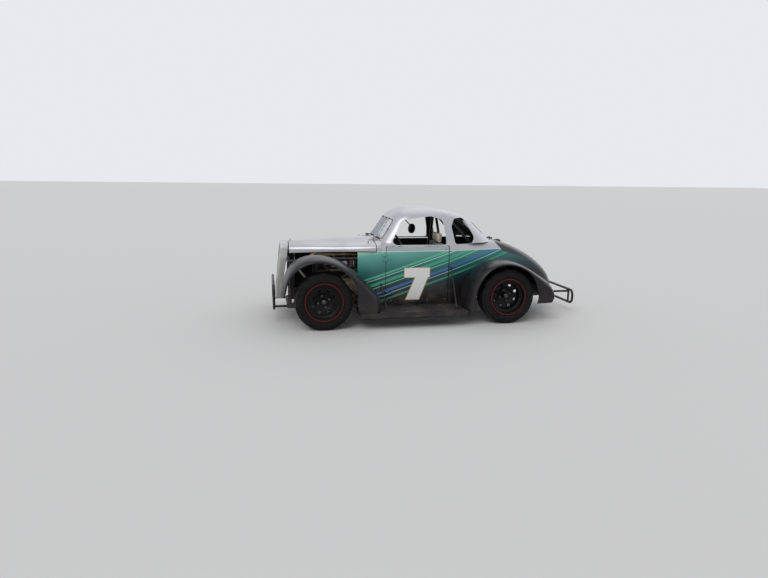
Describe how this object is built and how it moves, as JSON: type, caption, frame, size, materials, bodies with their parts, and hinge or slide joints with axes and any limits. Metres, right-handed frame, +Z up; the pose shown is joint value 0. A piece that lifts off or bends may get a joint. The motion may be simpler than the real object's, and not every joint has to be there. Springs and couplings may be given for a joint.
{
  "type": "small coupe stock car",
  "caption": "Small coupe stock car with open front fenders, tube chassis, front engine, roll cage and one seat, that rolls and steers, with opening doors, hood and deck lid.",
  "frame": {"origin": "on the ground under the middle of the car's bounding box", "axes": "+X towards the car's left side, -Y towards its front, +Z up"},
  "size_m": [1.4972, 3.24, 1.142],
  "materials": {
    "frame_paint": "satin black, dusty",
    "cage_paint": "satin black",
    "sheet_alloy": "dull, dusty",
    "dash_black": "satin",
    "body_silver": "gloss, faded",
    "body_teal": "gloss, faded",
    "deck_dark": "gloss, faded",
    "grille_steel": "dull",
    "pane": "clear",
    "fender_black": "scuffed satin",
    "board_grey": "worn",
    "bumper_black": "worn, bare steel at the edges",
    "engine_alloy": "cast, oily",
    "fin_black": "matt",
    "carb_alloy": "cast",
    "exhaust_steel": "heat stained",
    "cooler_black": "matt",
    "axle_paint": "dusty black",
    "arm_paint": "dusty",
    "spring_paint": "worn",
    "rod_steel": "dull",
    "tyre_rubber": "dusty",
    "wheel_black": "satin, red ring at the rim",
    "grip": "matt",
    "seat_alloy": "brushed",
    "seat_cloth": "woven",
    "tank_plastic": "matt",
    "mirror_shell": "satin"
  },
  "bodies": {
    "chassis": {"frame_rails": "frame_paint", "roll_cage": "cage_paint", "floor_pan": "sheet_alloy", "firewall": "sheet_alloy", "dashboard": "dash_black", "body_shell": "body_silver", "grille_shell": "body_silver", "grille_bars": "grille_steel", "windscreen": "pane", "rear_window": "pane", "front_fender_left": "fender_black", "front_fender_right": "fender_black", "rear_fender_left": "fender_black", "rear_fender_right": "fender_black", "running_board_left": "board_grey", "running_board_right": "board_grey", "front_bumper": "bumper_black", "rear_bumper": "bumper_black", "crankcase": "engine_alloy", "cylinders": "fin_black", "carburettors": "carb_alloy", "exhaust": "exhaust_steel", "oil_cooler": "cooler_black", "propshaft": "axle_paint", "rear_axle": "axle_paint", "rear_links": "axle_paint", "front_arms": "arm_paint", "coilovers": "spring_paint", "rack_housing": "carb_alloy", "steering_column": "frame_paint", "seat_shell": "seat_alloy", "seat_pad": "seat_cloth", "headrest": "seat_cloth", "fuel_tank": "tank_plastic", "mirror": "mirror_shell"},
    "steering_knuckle_left": {"knuckle_left": "axle_paint"},
    "steering_knuckle_right": {"knuckle_right": "axle_paint"},
    "front_wheel_left": {"wheel_front_left": "wheel_black", "tyre_front_left": "tyre_rubber"},
    "front_wheel_right": {"wheel_front_right": "wheel_black", "tyre_front_right": "tyre_rubber"},
    "rear_wheel_left": {"wheel_rear_left": "wheel_black", "tyre_rear_left": "tyre_rubber"},
    "rear_wheel_right": {"wheel_rear_right": "wheel_black", "tyre_rear_right": "tyre_rubber"},
    "steering_rack": {"tie_rods": "rod_steel"},
    "hand_wheel": {"steering_wheel": "grip"},
    "left_door": {"door_left": "body_teal"},
    "right_door": {"door_right": "body_teal"},
    "hood_panel": {"hood": "body_silver"},
    "deck_panel": {"deck_lid": "deck_dark"}
  },
  "joints": [
    {"name": "steer_left", "type": "hinge", "parent": "chassis", "child": "steering_knuckle_left", "pos_m": [0.548, -1.145, 0.276], "axis": [0, 0, 1], "range_deg": [-20, 20]},
    {"name": "steer_right", "type": "hinge", "parent": "chassis", "child": "steering_knuckle_right", "pos_m": [-0.548, -1.145, 0.276], "axis": [0, 0, 1], "range_deg": [-20.1, 20.1]},
    {"name": "rack_slide", "type": "slide", "parent": "chassis", "child": "steering_rack", "axis": [1, 0, 0], "range_m": [-0.0378, 0.0378]},
    {"name": "hand_wheel_turn", "type": "hinge", "parent": "chassis", "child": "hand_wheel", "pos_m": [0.17, -0.3, 0.735], "axis": [0, 0.8829, 0.4695], "range_deg": [-271, 271]},
    {"name": "front_left_spin", "type": "hinge", "parent": "steering_knuckle_left", "child": "front_wheel_left", "pos_m": [0.5975, -1.145, 0.276], "axis": [1, 0, 0], "continuous": true},
    {"name": "front_right_spin", "type": "hinge", "parent": "steering_knuckle_right", "child": "front_wheel_right", "pos_m": [-0.5975, -1.145, 0.276], "axis": [1, 0, 0], "continuous": true},
    {"name": "rear_left_spin", "type": "hinge", "parent": "chassis", "child": "rear_wheel_left", "pos_m": [0.5975, 0.71, 0.276], "axis": [1, 0, 0], "continuous": true},
    {"name": "rear_right_spin", "type": "hinge", "parent": "chassis", "child": "rear_wheel_right", "pos_m": [-0.5975, 0.71, 0.276], "axis": [1, 0, 0], "continuous": true},
    {"name": "left_door_hinge", "type": "hinge", "parent": "chassis", "child": "left_door", "pos_m": [0.434, -0.497, 0.48], "axis": [0, 0, -1], "range_deg": [0, 65]},
    {"name": "right_door_hinge", "type": "hinge", "parent": "chassis", "child": "right_door", "pos_m": [-0.434, -0.497, 0.48], "axis": [0, 0, 1], "range_deg": [0, 65]},
    {"name": "hood_hinge", "type": "hinge", "parent": "chassis", "child": "hood_panel", "pos_m": [0, -0.597, 0.838], "axis": [-1, 0, 0], "range_deg": [0, 60]},
    {"name": "deck_lid_hinge", "type": "hinge", "parent": "chassis", "child": "deck_panel", "pos_m": [0, 0.797, 0.797], "axis": [1, 0, 0], "range_deg": [0, 60]}
  ],
  "couplings": [
    {"joint": "steer_right", "follows": "steer_left", "ratio": 1},
    {"joint": "rack_slide", "follows": "steer_left", "m_per_rad": 0.1077},
    {"joint": "hand_wheel_turn", "follows": "steer_left", "ratio": 13.5}
  ]
}
